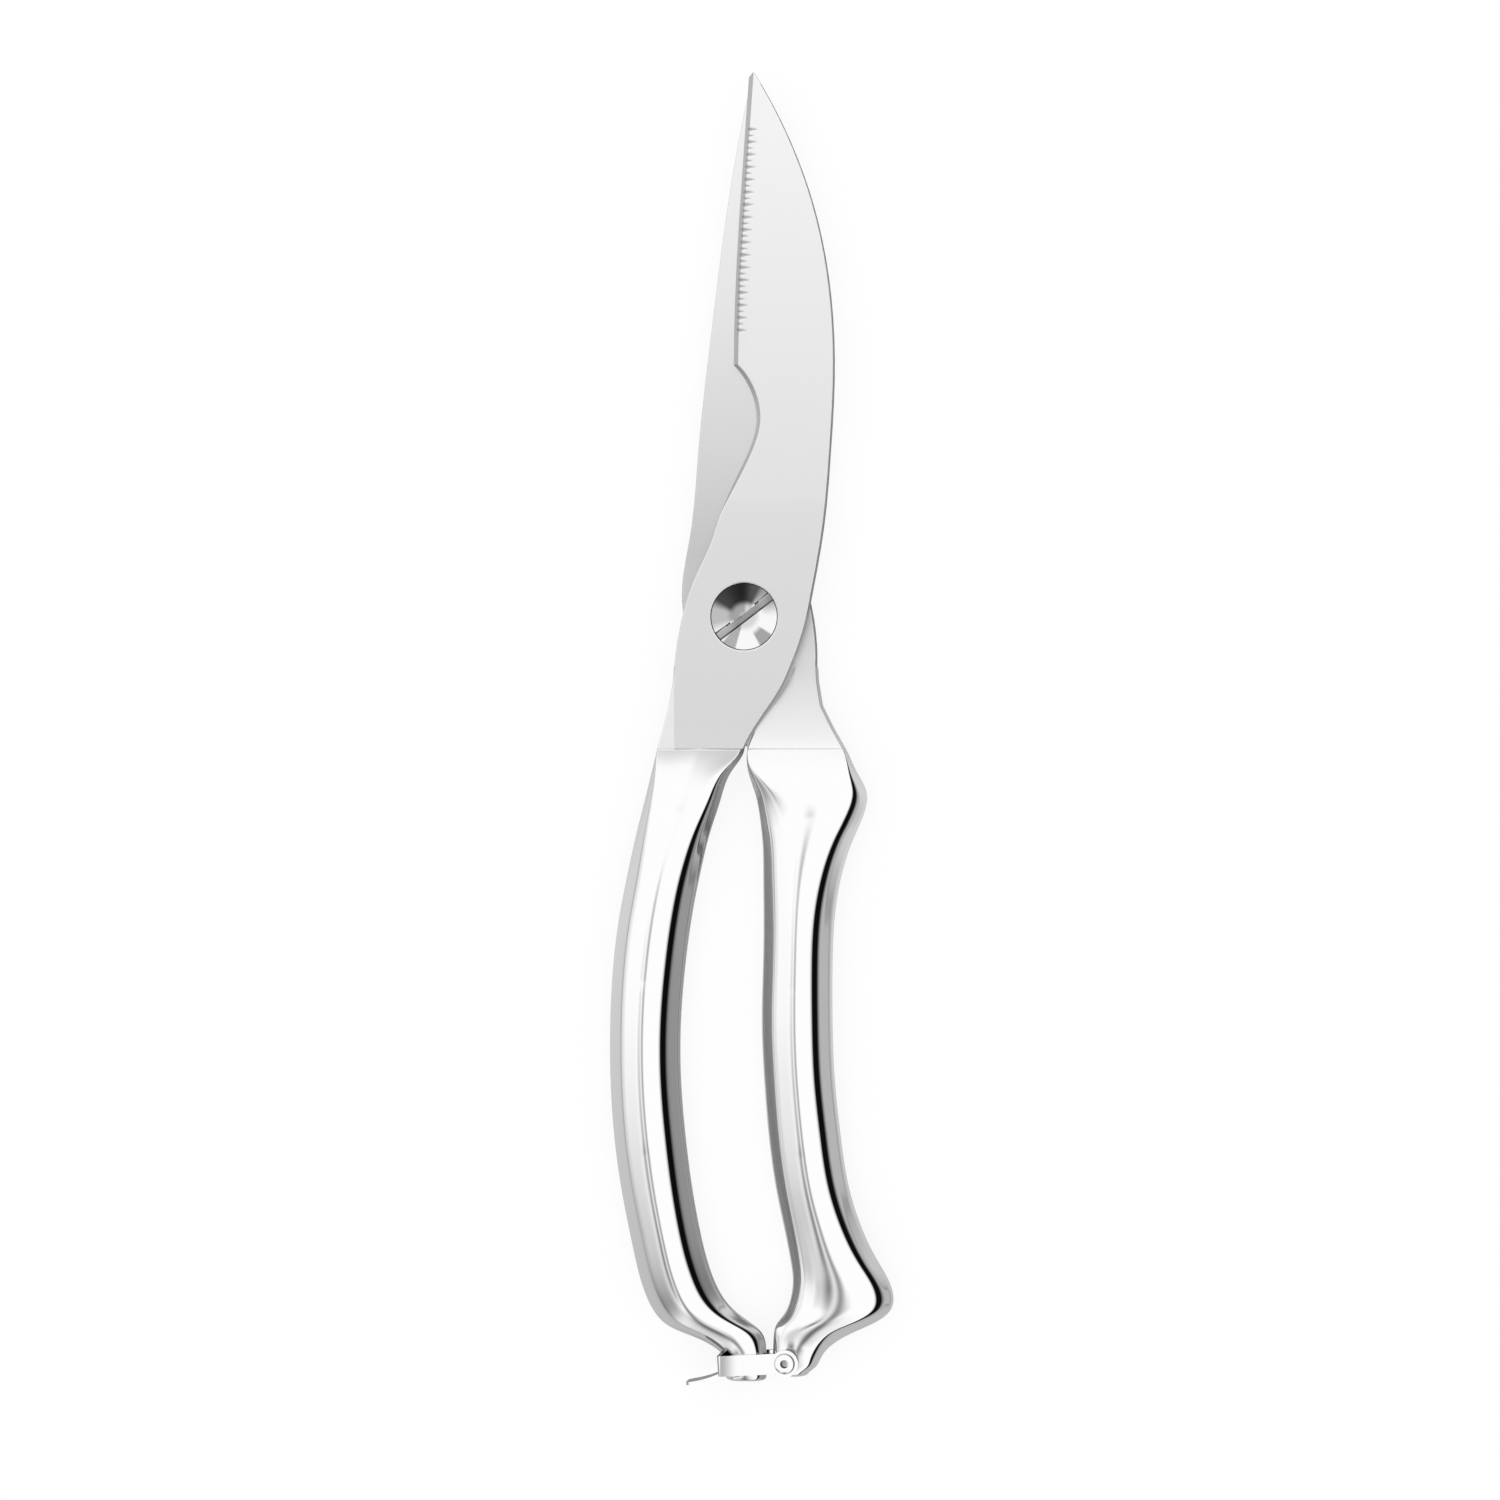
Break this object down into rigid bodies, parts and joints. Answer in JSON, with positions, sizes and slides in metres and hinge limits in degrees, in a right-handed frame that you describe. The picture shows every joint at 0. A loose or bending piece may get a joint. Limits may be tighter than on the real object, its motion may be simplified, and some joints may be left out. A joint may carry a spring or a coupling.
{
  "type": "kitchen shears",
  "caption": "Heavy kitchen shears with a curved, finely toothed front blade with a bone notch, a straight rear blade, chromed cast handles, a hidden return spring and a swing-over latch.",
  "frame": {"origin": "middle of the underside's bounding box, with the shears lying on their back, closed and latched", "axes": "+Y towards the blade tips, +X to the right handle, +Z out of the front face, along the pivot screw"},
  "size_m": [0.0546, 0.251, 0.0104],
  "materials": {
    "blade_steel": "satin ground",
    "handle_chrome": "mirror polished",
    "screw_steel": "bright turned",
    "washer_brass": "plain",
    "spring_steel": "drawn wire",
    "latch_steel": "bright pressed sheet"
  },
  "bodies": {
    "rear_half": {"rear_blade": "blade_steel", "right_handle": "handle_chrome", "pivot_screw": "screw_steel", "pivot_nut": "screw_steel", "pivot_washer": "washer_brass", "return_spring": "spring_steel", "latch_rivet": "latch_steel", "front_latch_washer": "latch_steel", "rear_latch_washer": "latch_steel"},
    "front_half": {"front_blade": "blade_steel", "left_handle": "handle_chrome"},
    "latch": {"latch_loop": "latch_steel"}
  },
  "joints": [
    {"name": "blade_pivot", "type": "hinge", "parent": "rear_half", "child": "front_half", "pos_m": [-0.00099, 0.02147, 0.00517], "axis": [0, 0, -1], "range_deg": [0, 36], "deforming": ["return_spring"]},
    {"name": "latch_swing", "type": "hinge", "parent": "rear_half", "child": "latch", "pos_m": [0.00691, -0.12083, 0.00517], "axis": [0, 0, 1], "range_deg": [0, 160]}
  ]
}
